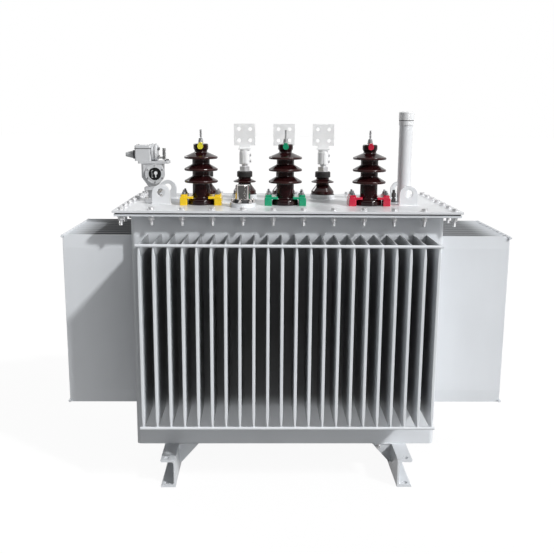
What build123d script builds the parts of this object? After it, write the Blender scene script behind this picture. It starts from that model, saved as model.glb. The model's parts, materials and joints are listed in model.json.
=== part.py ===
# Power transformer: a tank with corrugated cooling walls on two base channels,
# its cover set with high and low voltage bushings, a relay and a filler tube.
# Millimetres, X across the long front, Y from front to back, Z up from the floor.
import os
from build123d import *

os.makedirs("parts", exist_ok=True)

# Tank
tank_width = 1060.0
tank_depth = 490.0
wall_thickness = 4.0
floor_thickness = 6.0
wall_height = 820.0
tank_corner_radius = 16.0

# Base channels
channel_height = 100.0
channel_flange = 50.0
channel_web = 6.0
channel_flange_thickness = 8.5
channel_length = 766.0
channel_gauge = 820.0
channel_hole_from_back = 30.0
channel_hole_radius = 9.0
channel_hole_from_end = 18.0
channel_root_radius = 8.5
channel_toe_radius = 4.5

# Gussets between the channels and the underside of the tank
gusset_width = 70.0
gusset_height = 70.0
gusset_nose = 8.0
gusset_thickness = 6.0
earth_hole_radius = 5.0
earth_hole_across = 48.0
earth_hole_down = 11.0

# Corrugated fins
fin_pitch = 45.0
front_fin_count = 22
side_fin_count = 10
front_fin_depth = 210.0
side_fin_depth = 240.0
front_fin_above_channel = 140.0
front_fin_below_rim = 65.0
side_fin_inset = 3.0
side_fin_drop = 9.0
fin_thickness = 10.0
fin_edge_thickness = 4.0
fin_tip_round = 1.9
fin_pinch_height = 45.0
rod_radius = 5.0
rod_clearance = 0.3
rod_inset = 5.0
rod_overrun = 10.0

# Rim, gasket and cover
rim_overhang = 47.0
rim_thickness = 8.0
gasket_thickness = 4.0
gasket_inset = 3.0
cover_thickness = 8.0
cover_overlap = 5.0

# The fittings on the cover stand this far to the right of its middle
fittings_shift = -6.0

# Lifting lugs
lug_from_end = 93.0
lug_from_side = 145.0
lug_width = 65.0
lug_height = 69.0
lug_thickness = 12.0
lug_eye_radius = 14.0
lug_eye_height = 41.0

# High voltage bushings
hv_pitch = 296.0
hv_from_front = 150.0
hv_base_radius = 46.0
hv_base_height = 22.0
hv_base_round = 10.0
hv_foot_round = 4.0
hv_barrel_radius = 30.5
hv_shed_radius = 58.5
hv_shed_lip = 7.5
hv_shed_rise = 15.5
hv_lip_round = 3.5
hv_root_round = 5.0
hv_first_shed = 77.0
hv_shed_pitch = 41.5
hv_neck_radius = 22.0
hv_cap_radius = 26.0
hv_cap_bottom = 188.0
hv_cap_height = 24.0
hv_cap_flare = 7.0
hv_cap_round = 5.0
hv_neck_round = 2.5
hv_tab_thickness = 3.0
hv_tab_width = 16.0
hv_tab_back = 12.0
hv_disc_radius = 12.5
hv_disc_thickness = 5.0
hv_disc_gap = 0.5
hv_disc_drop = 7.0
hv_nut_radius = 8.0
hv_nut_height = 15.0
hv_stud_radius = 4.0
hv_stud_height = 48.0

# Clamps that hold the high voltage bushings down
clamp_foot = 26.0
clamp_gap = 1.0
clamp_reach = 21.0
clamp_throat_radius = 35.0
clamp_length = 84.0
clamp_thickness = 8.0
clamp_outer_round = 8.0
clamp_edge_round = 3.0

# Low voltage bushings
lv_pitch = 148.0
lv_from_rear = 125.0
lv_flange_radius = 47.0
lv_flange_height = 16.0
lv_base_radius = 42.5
lv_base_lip = 13.0
lv_cone_height = 24.0
lv_barrel_radius = 24.0
lv_barrel_height = 8.0
lv_shed_lip = 4.0
lv_shed_rise = 8.0
lv_neck_height = 8.0
lv_lip_round = 1.8
lv_cone_round = 9.0
lv_foot_round = 5.0
lv_cap_round = 4.0
lv_cap_radius = 29.0
lv_cap_height = 21.0
lv_nut_radius = 22.0
lv_nut_height = 21.0
lv_stud_radius = 12.0
lv_stud_height = 31.0
neutral_stud_height = 45.0
palm_clamp_radius = 18.0
palm_clamp_height = 50.0
palm_foot_width = 46.0
palm_foot_depth = 36.0
palm_foot_height = 6.0
palm_neck_width = 40.0
palm_neck_height = 9.0
palm_width = 80.0
palm_height = 80.0
palm_thickness = 10.0
palm_hole_radius = 7.0
palm_hole_pitch = 42.0

# Tap changer between two high voltage bushings
tap_x = -148.0
tap_from_front = 80.0
tap_base_radius = 45.0
tap_base_height = 14.0
tap_ring_radius = 30.0
tap_ring_height = 12.0
tap_barrel_radius = 25.5
tap_barrel_height = 50.0
tap_round = 3.0

# Filler tube
filler_from_end = 93.0
filler_y = 0.0
filler_radius = 24.0
filler_height = 278.0
filler_collar_radius = 26.0
filler_collar_height = 18.0
filler_cap_radius = 27.0
filler_cap_height = 30.0
filler_cap_round = 5.0
plug_gap = 4.0
plug_radius = 8.0
plug_waist_radius = 5.0
plug_nut_height = 14.0
plug_waist_height = 5.0
plug_knob_height = 16.0
plug_knob_round = 3.0
plug_height = 45.0

# Protection relay
relay_from_end = 53.0
relay_y = 0.0
relay_flange = 60.0
relay_flange_thickness = 10.0
relay_neck_radius = 20.0
relay_neck_height = 52.0
relay_body_width = 78.0
relay_body_depth = 60.0
relay_body_height = 85.0
relay_body_taper = 36.0
relay_body_foot = 28.0
relay_body_round = 9.0
relay_shoulder_round = 12.0
relay_flange_round = 6.0
sight_radius = 35.0
sight_thickness = 8.0
sight_height = 49.0
sight_shift = 11.0
glass_radius = 24.0
glass_thickness = 3.0
glass_clearance = 0.3
relay_plate_width = 110.0
relay_plate_depth = 66.0
relay_plate_thickness = 9.0
relay_plate_shift = 5.0
box_width = 57.0
box_depth = 60.0
box_height = 44.0
box_from_axis = 61.0
lid_thickness = 12.0
lid_round = 4.0
box_round = 5.0
end_flange_radius = 28.0
end_flange_thickness = 23.0
gland_collar_radius = 17.5
gland_collar_length = 8.0
gland_radius = 14.0
gland_length = 28.0
gland_taper = 14.0
cock_rod_radius = 4.0
cock_rod_length = 16.0
cock_drop = 17.0
cock_block = 12.0
cock_below_rod = 7.0
cock_height = 41.0
cock_round = 3.0

# Levels that follow from the sizes above
tank_bottom = channel_height
rim_bottom = tank_bottom + wall_height
gasket_bottom = rim_bottom + rim_thickness
cover_bottom = gasket_bottom + gasket_thickness
cover_top = cover_bottom + cover_thickness
rim_width = tank_width + 2 * rim_overhang
rim_depth = tank_depth + 2 * rim_overhang
opening_width = tank_width - 2 * wall_thickness
opening_depth = tank_depth - 2 * wall_thickness
opening_radius = tank_corner_radius - wall_thickness
channel_back = channel_gauge / 2 - channel_hole_from_back
channel_hole_x = channel_gauge / 2
channel_hole_y = channel_length / 2 - channel_hole_from_end
front_fin_bottom = tank_bottom + front_fin_above_channel
front_fin_top = rim_bottom - front_fin_below_rim
front_fin_height = front_fin_top - front_fin_bottom
front_rod_levels = (front_fin_bottom + rod_inset, front_fin_top - rod_inset)
side_fin_bottom = front_fin_bottom + side_fin_inset
side_fin_top = front_fin_top - side_fin_drop
side_fin_height = side_fin_top - side_fin_bottom
side_rod_levels = (side_fin_bottom + rod_inset, side_fin_top - rod_inset)
front_tip = tank_depth / 2 + front_fin_depth
side_tip = tank_width / 2 + side_fin_depth
front_rod_half = (front_fin_count - 1) * fin_pitch / 2 + rod_overrun
side_rod_half = (side_fin_count - 1) * fin_pitch / 2 + rod_overrun
hv_xs = tuple(fittings_shift + step * hv_pitch for step in (-1, 0, 1))
lv_xs = tuple(fittings_shift + step * lv_pitch for step in (-2, -1, 0, 1))
hv_y = -tank_depth / 2 + hv_from_front
lv_y = tank_depth / 2 - lv_from_rear
lug_y = tank_depth / 2 - lug_from_side
lug_x = tank_width / 2 - lug_from_end
lug_xs = (fittings_shift - lug_x, fittings_shift + lug_x)
tap_middle = fittings_shift + tap_x
tap_y = -tank_depth / 2 + tap_from_front
filler_middle = fittings_shift + tank_width / 2 - filler_from_end
relay_middle = fittings_shift - tank_width / 2 + relay_from_end
palm_xs = lv_xs[1:]
hv_cap_top = cover_top + hv_cap_bottom + hv_cap_height
lv_cap_bottom = (
    cover_top + lv_flange_height + lv_base_lip + lv_cone_height
    + lv_barrel_height + lv_shed_lip + lv_shed_rise + lv_neck_height
)
lv_cap_top = lv_cap_bottom + lv_cap_height


def fin_outline(height):
    # One fin seen from its tip, thick in the middle and pinched flat at both ends
    edge = fin_edge_thickness / 2
    thick = fin_thickness / 2
    end = height / 2
    shoulder = end - fin_pinch_height
    right = [(edge, -end), (thick, -shoulder), (thick, shoulder), (edge, end)]
    left = [(-x, y) for x, y in reversed(right)]
    return right + left


def facing_front(x, y, z):
    # A drawing plane whose up is Z and which looks out of the front
    return Plane(origin=(x, y, z), x_dir=(1, 0, 0), z_dir=(0, -1, 0))


def facing_right(x, y, z):
    # A drawing plane whose up is Z and which looks out of the right end
    return Plane(origin=(x, y, z), x_dir=(0, 1, 0), z_dir=(1, 0, 0))


def at_radius(section, radius):
    # The corners of a turned profile that stand at one distance from its axis
    return section.vertices().filter_by_position(Axis.X, radius - 0.1, radius + 0.1)


# Tank floor
with BuildPart() as tank_floor:
    with BuildSketch(Plane.XY.offset(tank_bottom)):
        RectangleRounded(opening_width, opening_depth, opening_radius)
    extrude(amount=floor_thickness)

# Walls, the long ones bent round the corners of the tank
with BuildPart() as wall_front:
    with BuildSketch(facing_front(0, -opening_depth / 2, tank_bottom + wall_height / 2)):
        Rectangle(tank_width - 2 * tank_corner_radius, wall_height)
    extrude(amount=wall_thickness)
    with BuildSketch(Plane.XY.offset(tank_bottom)):
        with Locations((tank_width / 2 - tank_corner_radius, -tank_depth / 2 + tank_corner_radius)):
            Circle(tank_corner_radius)
            Circle(opening_radius, mode=Mode.SUBTRACT)
            Rectangle(
                tank_corner_radius, tank_corner_radius, align=(Align.MIN, Align.MAX), mode=Mode.INTERSECT
            )
        mirror(about=Plane.YZ)
    extrude(amount=wall_height)

with BuildPart() as wall_rear:
    mirror(wall_front.part, about=Plane.XZ)

with BuildPart() as wall_right:
    with BuildSketch(facing_right(opening_width / 2, 0, tank_bottom + wall_height / 2)):
        Rectangle(tank_depth - 2 * tank_corner_radius, wall_height)
    extrude(amount=wall_thickness)

with BuildPart() as wall_left:
    mirror(wall_right.part, about=Plane.YZ)

# Fins on the long walls, notched at the tips for the rods
with BuildPart() as fins_front:
    with BuildSketch(facing_front(0, -tank_depth / 2, (front_fin_bottom + front_fin_top) / 2)):
        with GridLocations(fin_pitch, fin_pitch, front_fin_count, 1):
            Polygon(*fin_outline(front_fin_height), align=None)
    extrude(amount=front_fin_depth)
    folds = fins_front.faces().group_by(Axis.Y)[0].edges().filter_by(Axis.X, reverse=True)
    fillet(folds, fin_tip_round)
    with BuildSketch(facing_right(-front_rod_half, -front_tip, 0)):
        with Locations(*[(0, level) for level in front_rod_levels]):
            Circle(rod_radius + rod_clearance)
    extrude(amount=2 * front_rod_half, mode=Mode.SUBTRACT)

with BuildPart() as fins_rear:
    mirror(fins_front.part, about=Plane.XZ)

# Fins on the end walls
with BuildPart() as fins_right:
    with BuildSketch(facing_right(tank_width / 2, 0, (side_fin_bottom + side_fin_top) / 2)):
        with GridLocations(fin_pitch, fin_pitch, side_fin_count, 1):
            Polygon(*fin_outline(side_fin_height), align=None)
    extrude(amount=side_fin_depth)
    folds = fins_right.faces().group_by(Axis.X)[-1].edges().filter_by(Axis.Y, reverse=True)
    fillet(folds, fin_tip_round)
    with BuildSketch(facing_front(side_tip, side_rod_half, 0)):
        with Locations(*[(0, level) for level in side_rod_levels]):
            Circle(rod_radius + rod_clearance)
    extrude(amount=2 * side_rod_half, mode=Mode.SUBTRACT)

with BuildPart() as fins_left:
    mirror(fins_right.part, about=Plane.YZ)

# Round rods across all the fin tips
with BuildPart() as fin_rods:
    with BuildSketch(facing_right(-front_rod_half, -front_tip, 0)):
        with Locations(*[(0, level) for level in front_rod_levels]):
            Circle(rod_radius)
    extrude(amount=2 * front_rod_half)
    with BuildSketch(facing_front(side_tip, side_rod_half, 0)):
        with Locations(*[(0, level) for level in side_rod_levels]):
            Circle(rod_radius)
    extrude(amount=2 * side_rod_half)
    mirror(about=Plane.XZ)
    mirror(about=Plane.YZ)

# Rim flange around the top of the tank
with BuildPart() as rim_flange:
    with BuildSketch(Plane.XY.offset(rim_bottom)):
        Rectangle(rim_width, rim_depth)
        RectangleRounded(opening_width, opening_depth, opening_radius, mode=Mode.SUBTRACT)
    extrude(amount=rim_thickness)

# Gasket
with BuildPart() as cover_gasket:
    with BuildSketch(Plane.XY.offset(gasket_bottom)):
        Rectangle(rim_width - 2 * gasket_inset, rim_depth - 2 * gasket_inset)
        RectangleRounded(opening_width, opening_depth, opening_radius, mode=Mode.SUBTRACT)
    extrude(amount=gasket_thickness)

# Cover
with BuildPart() as cover_plate:
    with BuildSketch(Plane.XY.offset(cover_bottom)):
        Rectangle(rim_width + 2 * cover_overlap, rim_depth + 2 * cover_overlap)
    extrude(amount=cover_thickness)

# Base channels, back to back, flanges outward
with BuildPart() as base_channels:
    with BuildSketch(facing_front(0, channel_length / 2, 0)) as channel_section:
        with Locations((channel_back, 0)):
            Rectangle(channel_web, channel_height, align=(Align.MIN, Align.MIN))
            Rectangle(channel_flange, channel_flange_thickness, align=(Align.MIN, Align.MIN))
        with Locations((channel_back, channel_height)):
            Rectangle(channel_flange, channel_flange_thickness, align=(Align.MIN, Align.MAX))
        fillet(channel_section.vertices().group_by(Axis.X)[1], channel_root_radius)
        toes = channel_section.vertices().group_by(Axis.X)[-1].sort_by(Axis.Y)
        fillet(toes[1:3], channel_toe_radius)
        mirror(about=Plane.YZ)
    extrude(amount=channel_length)
    with BuildSketch(Plane.XY):
        with GridLocations(2 * channel_hole_x, 2 * channel_hole_y, 2, 2):
            Circle(channel_hole_radius)
    extrude(amount=channel_height, mode=Mode.SUBTRACT)

# Gussets, the right front one drilled for the earth wire
with BuildPart() as channel_gussets:
    with BuildSketch(facing_front(0, -tank_depth / 2 + gusset_thickness, 0)):
        Polygon(
            (channel_back, tank_bottom),
            (channel_back - gusset_width, tank_bottom),
            (channel_back - gusset_nose, tank_bottom - gusset_height),
            (channel_back, tank_bottom - gusset_height),
            align=None,
        )
        mirror(about=Plane.YZ)
    extrude(amount=gusset_thickness)
    mirror(about=Plane.XZ)
    with BuildSketch(facing_front(0, -tank_depth / 2 + gusset_thickness, 0)):
        with Locations((channel_back - earth_hole_across, tank_bottom - earth_hole_down)):
            Circle(earth_hole_radius)
    extrude(amount=gusset_thickness, mode=Mode.SUBTRACT)

# Lifting lugs
with BuildPart() as lifting_lugs:
    with BuildSketch(facing_front(0, -lug_y + lug_thickness / 2, cover_top)):
        with Locations(*[(x, 0) for x in lug_xs]):
            Rectangle(lug_width, lug_height - lug_width / 2, align=(Align.CENTER, Align.MIN))
        with Locations(*[(x, lug_height - lug_width / 2) for x in lug_xs]):
            Circle(lug_width / 2)
        with Locations(*[(x, lug_eye_height) for x in lug_xs]):
            Circle(lug_eye_radius, mode=Mode.SUBTRACT)
    extrude(amount=lug_thickness)
    mirror(about=Plane.XZ)

# High voltage porcelain, turned about each bushing's axis
hv_profile = [(0, 0), (hv_base_radius, 0)]
hv_profile += [(hv_base_radius, hv_base_height), (hv_barrel_radius, hv_base_height)]
for shed in range(3):
    shed_level = hv_first_shed + shed * hv_shed_pitch
    hv_profile += [(hv_barrel_radius, shed_level), (hv_shed_radius, shed_level)]
    hv_profile += [(hv_shed_radius, shed_level + hv_shed_lip)]
    top_radius = hv_neck_radius if shed == 2 else hv_barrel_radius
    hv_profile += [(top_radius, shed_level + hv_shed_lip + hv_shed_rise)]
hv_profile += [(hv_neck_radius, hv_cap_bottom), (hv_cap_radius, hv_cap_bottom + hv_cap_flare)]
hv_profile += [(hv_cap_radius, hv_cap_bottom + hv_cap_height), (0, hv_cap_bottom + hv_cap_height)]

with BuildPart() as hv_porcelain:
    for x in hv_xs:
        with BuildSketch(facing_front(x, hv_y, cover_top)) as hv_section:
            Polygon(*hv_profile, align=None)
            fillet(at_radius(hv_section, hv_shed_radius), hv_lip_round)
            fillet(at_radius(hv_section, hv_barrel_radius), hv_root_round)
            fillet(at_radius(hv_section, hv_neck_radius), hv_neck_round)
            fillet(at_radius(hv_section, hv_cap_radius), hv_cap_round)
            fillet(at_radius(hv_section, hv_base_radius).sort_by(Axis.Y)[-1], hv_base_round)
            fillet(at_radius(hv_section, hv_base_radius).sort_by(Axis.Y)[0], hv_foot_round)
        revolve(axis=Axis((x, hv_y, 0), (0, 0, 1)))

# Studs and nuts on the high voltage bushings
with BuildPart() as hv_studs:
    with BuildSketch(Plane.XY.offset(hv_cap_top + hv_tab_thickness)):
        with Locations(*[(x, hv_y) for x in hv_xs]):
            RegularPolygon(hv_nut_radius, 6)
    extrude(amount=hv_nut_height)
    with BuildSketch(Plane.XY.offset(hv_cap_top + hv_tab_thickness)):
        with Locations(*[(x, hv_y) for x in hv_xs]):
            Circle(hv_stud_radius)
    extrude(amount=hv_stud_height - hv_tab_thickness)


# Clamps left and right of each high voltage bushing, hooked over the rim of its base
# and hollowed out round its barrel
clamp_inner = hv_base_radius + clamp_gap
clamp_under = hv_base_height + clamp_gap
clamp_outline = (
    (clamp_inner, 0),
    (clamp_inner + clamp_foot, 0),
    (clamp_inner + clamp_foot, clamp_under + clamp_thickness),
    (clamp_inner - clamp_reach, clamp_under + clamp_thickness),
    (clamp_inner - clamp_reach, clamp_under),
    (clamp_inner, clamp_under),
)

with BuildPart() as clamps_yellow:
    with BuildSketch(facing_front(hv_xs[0], hv_y, cover_top)) as clamp_section:
        Polygon(*clamp_outline, align=None)
        fillet(clamp_section.vertices().sort_by(Axis.X)[-2:].sort_by(Axis.Y)[-1], clamp_outer_round)
        mirror(about=Plane.YZ)
    extrude(amount=clamp_length / 2, both=True)
    fillet(clamps_yellow.edges().filter_by(Axis.Z), clamp_edge_round)
    with BuildSketch(Plane.XY.offset(cover_top + clamp_under)):
        with Locations((hv_xs[0], hv_y)):
            Circle(clamp_throat_radius)
    extrude(amount=clamp_thickness, mode=Mode.SUBTRACT)

with BuildPart() as clamps_green:
    with BuildSketch(facing_front(hv_xs[1], hv_y, cover_top)) as clamp_section:
        Polygon(*clamp_outline, align=None)
        fillet(clamp_section.vertices().sort_by(Axis.X)[-2:].sort_by(Axis.Y)[-1], clamp_outer_round)
        mirror(about=Plane.YZ)
    extrude(amount=clamp_length / 2, both=True)
    fillet(clamps_green.edges().filter_by(Axis.Z), clamp_edge_round)
    with BuildSketch(Plane.XY.offset(cover_top + clamp_under)):
        with Locations((hv_xs[1], hv_y)):
            Circle(clamp_throat_radius)
    extrude(amount=clamp_thickness, mode=Mode.SUBTRACT)

with BuildPart() as clamps_red:
    with BuildSketch(facing_front(hv_xs[2], hv_y, cover_top)) as clamp_section:
        Polygon(*clamp_outline, align=None)
        fillet(clamp_section.vertices().sort_by(Axis.X)[-2:].sort_by(Axis.Y)[-1], clamp_outer_round)
        mirror(about=Plane.YZ)
    extrude(amount=clamp_length / 2, both=True)
    fillet(clamps_red.edges().filter_by(Axis.Z), clamp_edge_round)
    with BuildSketch(Plane.XY.offset(cover_top + clamp_under)):
        with Locations((hv_xs[2], hv_y)):
            Circle(clamp_throat_radius)
    extrude(amount=clamp_thickness, mode=Mode.SUBTRACT)

# A tab under each stud that carries a round phase marker in front of the cap
disc_back = hv_cap_radius + hv_disc_gap
tab_length = hv_tab_back + disc_back + hv_disc_thickness

with BuildPart() as disc_yellow:
    with BuildSketch(Plane.XY.offset(hv_cap_top)):
        with Locations((hv_xs[0], hv_y + hv_tab_back)):
            Rectangle(hv_tab_width, tab_length, align=(Align.CENTER, Align.MAX))
    extrude(amount=hv_tab_thickness)
    with BuildSketch(facing_front(hv_xs[0], hv_y - disc_back, hv_cap_top - hv_disc_drop)):
        Circle(hv_disc_radius)
    extrude(amount=hv_disc_thickness)

with BuildPart() as disc_green:
    with BuildSketch(Plane.XY.offset(hv_cap_top)):
        with Locations((hv_xs[1], hv_y + hv_tab_back)):
            Rectangle(hv_tab_width, tab_length, align=(Align.CENTER, Align.MAX))
    extrude(amount=hv_tab_thickness)
    with BuildSketch(facing_front(hv_xs[1], hv_y - disc_back, hv_cap_top - hv_disc_drop)):
        Circle(hv_disc_radius)
    extrude(amount=hv_disc_thickness)

with BuildPart() as disc_red:
    with BuildSketch(Plane.XY.offset(hv_cap_top)):
        with Locations((hv_xs[2], hv_y + hv_tab_back)):
            Rectangle(hv_tab_width, tab_length, align=(Align.CENTER, Align.MAX))
    extrude(amount=hv_tab_thickness)
    with BuildSketch(facing_front(hv_xs[2], hv_y - disc_back, hv_cap_top - hv_disc_drop)):
        Circle(hv_disc_radius)
    extrude(amount=hv_disc_thickness)

# Flanges under the low voltage bushings
with BuildPart() as lv_flanges:
    with BuildSketch(Plane.XY.offset(cover_top)):
        with Locations(*[(x, lv_y) for x in lv_xs]):
            Circle(lv_flange_radius)
    extrude(amount=lv_flange_height)

# Low voltage porcelain
lv_level = 0.0
lv_profile = [(0, 0), (lv_base_radius, 0), (lv_base_radius, lv_base_lip)]
lv_level = lv_base_lip + lv_cone_height
lv_profile += [(lv_barrel_radius, lv_level)]
lv_level += lv_barrel_height
lv_profile += [(lv_barrel_radius, lv_level), (lv_base_radius, lv_level)]
lv_level += lv_shed_lip
lv_profile += [(lv_base_radius, lv_level)]
lv_level += lv_shed_rise
lv_profile += [(lv_barrel_radius, lv_level)]
lv_level += lv_neck_height
lv_profile += [(lv_barrel_radius, lv_level), (0, lv_level)]

with BuildPart() as lv_porcelain:
    for x in lv_xs:
        with BuildSketch(facing_front(x, lv_y, cover_top + lv_flange_height)) as lv_section:
            Polygon(*lv_profile, align=None)
            fillet(at_radius(lv_section, lv_base_radius).sort_by(Axis.Y)[2:], lv_lip_round)
            fillet(at_radius(lv_section, lv_base_radius).sort_by(Axis.Y)[1], lv_foot_round)
            fillet(at_radius(lv_section, lv_barrel_radius).sort_by(Axis.Y)[0], lv_cone_round)
        revolve(axis=Axis((x, lv_y, 0), (0, 0, 1)))

# Caps on the low voltage bushings
with BuildPart() as lv_caps:
    with BuildSketch(Plane.XY.offset(lv_cap_bottom)):
        with Locations(*[(x, lv_y) for x in lv_xs]):
            Circle(lv_cap_radius)
    extrude(amount=lv_cap_height)
    fillet(lv_caps.edges().group_by(Axis.Z)[-1], lv_cap_round)

# Low voltage studs with their nuts, the neutral one short
with BuildPart() as lv_studs:
    with BuildSketch(Plane.XY.offset(lv_cap_top)):
        with Locations(*[(x, lv_y) for x in lv_xs]):
            RegularPolygon(lv_nut_radius, 6)
    extrude(amount=lv_nut_height)
    with BuildSketch(Plane.XY.offset(lv_cap_top)):
        with Locations(*[(x, lv_y) for x in palm_xs]):
            Circle(lv_stud_radius)
    extrude(amount=lv_stud_height)
    with BuildSketch(Plane.XY.offset(lv_cap_top)):
        with Locations((lv_xs[0], lv_y)):
            Circle(lv_stud_radius)
    extrude(amount=neutral_stud_height)

# Terminal clamps with upright palms, four holes in each
clamp_bottom = lv_cap_top + lv_stud_height
foot_bottom = clamp_bottom + palm_clamp_height
neck_bottom = foot_bottom + palm_foot_height
palm_bottom = neck_bottom + palm_neck_height
with BuildPart() as lv_palms:
    with BuildSketch(Plane.XY.offset(clamp_bottom)):
        with Locations(*[(x, lv_y) for x in palm_xs]):
            Circle(palm_clamp_radius)
    extrude(amount=palm_clamp_height)
    with BuildSketch(Plane.XY.offset(foot_bottom)):
        with Locations(*[(x, lv_y) for x in palm_xs]):
            Rectangle(palm_foot_width, palm_foot_depth)
    extrude(amount=palm_foot_height)
    with BuildSketch(Plane.XY.offset(neck_bottom)):
        with Locations(*[(x, lv_y) for x in palm_xs]):
            Rectangle(palm_neck_width, palm_thickness)
    extrude(amount=palm_neck_height)
    with BuildSketch(facing_front(0, lv_y + palm_thickness / 2, palm_bottom + palm_height / 2)):
        with Locations(*[(x, 0) for x in palm_xs]):
            Rectangle(palm_width, palm_height)
            with GridLocations(palm_hole_pitch, palm_hole_pitch, 2, 2):
                Circle(palm_hole_radius, mode=Mode.SUBTRACT)
    extrude(amount=palm_thickness)

# Tap changer
with BuildPart() as tap_base:
    with BuildSketch(Plane.XY.offset(cover_top)):
        with Locations((tap_middle, tap_y)):
            Circle(tap_base_radius)
    extrude(amount=tap_base_height)

with BuildPart() as tap_ring:
    with BuildSketch(Plane.XY.offset(cover_top + tap_base_height)):
        with Locations((tap_middle, tap_y)):
            Circle(tap_ring_radius)
    extrude(amount=tap_ring_height)
    fillet(tap_ring.edges().group_by(Axis.Z)[-1], tap_round)

with BuildPart() as tap_barrel:
    with BuildSketch(Plane.XY.offset(cover_top + tap_base_height + tap_ring_height)):
        with Locations((tap_middle, tap_y)):
            Circle(tap_barrel_radius)
    extrude(amount=tap_barrel_height)
    fillet(tap_barrel.edges().group_by(Axis.Z)[-1], tap_round)

# Filler tube, its collar and cap, and the small plug beside it
with BuildPart() as filler_tube:
    with BuildSketch(Plane.XY.offset(cover_top)):
        with Locations((filler_middle, filler_y)):
            Circle(filler_radius)
    extrude(amount=filler_height)

with BuildPart() as filler_collar:
    with BuildSketch(Plane.XY.offset(cover_top + filler_height)):
        with Locations((filler_middle, filler_y)):
            Circle(filler_collar_radius)
    extrude(amount=filler_collar_height)

with BuildPart() as filler_cap:
    with BuildSketch(Plane.XY.offset(cover_top + filler_height + filler_collar_height)):
        with Locations((filler_middle, filler_y)):
            Circle(filler_cap_radius)
    extrude(amount=filler_cap_height)
    fillet(filler_cap.edges().group_by(Axis.Z)[-1], filler_cap_round)

plug_middle = filler_middle - filler_radius - plug_gap - plug_radius
plug_knob_bottom = cover_top + plug_nut_height + plug_waist_height
with BuildPart() as cover_plug:
    with BuildSketch(Plane.XY.offset(plug_knob_bottom)):
        with Locations((plug_middle, filler_y)):
            Circle(plug_radius)
    extrude(amount=plug_knob_height)
    fillet(cover_plug.edges().group_by(Axis.Z)[-1], plug_knob_round)
    with BuildSketch(Plane.XY.offset(cover_top)):
        with Locations((plug_middle, filler_y)):
            RegularPolygon(plug_radius, 6)
    extrude(amount=plug_nut_height)
    with BuildSketch(Plane.XY.offset(cover_top)):
        with Locations((plug_middle, filler_y)):
            Circle(plug_waist_radius)
    extrude(amount=plug_height)

# Relay neck: a pipe between two square flanges
with BuildPart() as relay_neck:
    with BuildSketch(Plane.XY.offset(cover_top)):
        with Locations((relay_middle, relay_y)):
            RectangleRounded(relay_flange, relay_flange, relay_flange_round)
    extrude(amount=relay_flange_thickness)
    with BuildSketch(Plane.XY.offset(cover_top)):
        with Locations((relay_middle, relay_y)):
            Circle(relay_neck_radius)
    extrude(amount=relay_neck_height)
    with BuildSketch(Plane.XY.offset(cover_top + relay_neck_height)):
        with Locations((relay_middle, relay_y)):
            RectangleRounded(relay_flange, relay_flange, relay_flange_round)
    extrude(amount=-relay_flange_thickness)

# Relay body, narrow at its foot
relay_bottom = cover_top + relay_neck_height
sight_front = relay_y - relay_body_depth / 2 - sight_thickness
sight_middle = relay_middle + sight_shift
with BuildPart() as relay_body:
    with BuildSketch(facing_front(relay_middle, relay_y, relay_bottom)) as relay_section:
        Polygon(
            (-relay_body_foot / 2, 0),
            (relay_body_foot / 2, 0),
            (relay_body_width / 2, relay_body_taper),
            (relay_body_width / 2, relay_body_height),
            (-relay_body_width / 2, relay_body_height),
            (-relay_body_width / 2, relay_body_taper),
            align=None,
        )
        fillet(relay_section.vertices().sort_by(Axis.Y)[2:4], relay_shoulder_round)
    extrude(amount=relay_body_depth / 2, both=True)
    fillet(relay_body.edges().filter_by(Axis.Z), relay_body_round)
    with BuildSketch(facing_front(sight_middle, sight_front + sight_thickness, relay_bottom + sight_height)):
        Circle(sight_radius)
    extrude(amount=sight_thickness)
    with BuildSketch(facing_front(sight_middle, sight_front + glass_thickness, relay_bottom + sight_height)):
        Circle(glass_radius + glass_clearance)
    extrude(amount=glass_thickness, mode=Mode.SUBTRACT)

with BuildPart() as relay_glass:
    with BuildSketch(facing_front(sight_middle, sight_front + glass_thickness, relay_bottom + sight_height)):
        Circle(glass_radius)
    extrude(amount=glass_thickness)

# Plate on top of the relay and the terminal box on it
plate_top = relay_bottom + relay_body_height + relay_plate_thickness
with BuildPart() as relay_plate:
    with BuildSketch(Plane.XY.offset(relay_bottom + relay_body_height)):
        with Locations((relay_middle + relay_plate_shift, relay_y)):
            RectangleRounded(relay_plate_width, relay_plate_depth, relay_flange_round)
    extrude(amount=relay_plate_thickness)

with BuildPart() as relay_box:
    with BuildSketch(Plane.XY.offset(plate_top)):
        with Locations((relay_middle - box_from_axis, relay_y)):
            Rectangle(box_width, box_depth, align=(Align.MIN, Align.CENTER))
    extrude(amount=box_height)
    fillet(relay_box.edges().filter_by(Axis.Z), box_round)

with BuildPart() as relay_lid:
    with BuildSketch(Plane.XY.offset(plate_top + box_height)):
        with Locations((relay_middle - box_from_axis, relay_y)):
            Rectangle(box_width, box_depth, align=(Align.MIN, Align.CENTER))
    extrude(amount=lid_thickness)
    fillet(relay_lid.edges().filter_by(Axis.Z), box_round)
    fillet(relay_lid.edges().group_by(Axis.Z)[-1], lid_round)

# Round flange at the end of the terminal box
end_flange_x = relay_middle - box_from_axis + box_width
end_flange_level = plate_top + end_flange_radius
with BuildPart() as relay_end_flange:
    with BuildSketch(facing_right(end_flange_x, relay_y, end_flange_level)):
        Circle(end_flange_radius)
    extrude(amount=end_flange_thickness)

# Cable gland: a six-sided collar and a tapered end
gland_x = relay_middle - box_from_axis
with BuildPart() as cable_gland:
    with BuildSketch(facing_right(gland_x, relay_y, plate_top + box_height / 2)):
        RegularPolygon(gland_collar_radius, 6)
    extrude(amount=-gland_collar_length)
    with BuildSketch(facing_right(gland_x - gland_collar_length, relay_y, plate_top + box_height / 2)):
        Circle(gland_radius)
    extrude(amount=-gland_length, taper=gland_taper)

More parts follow.
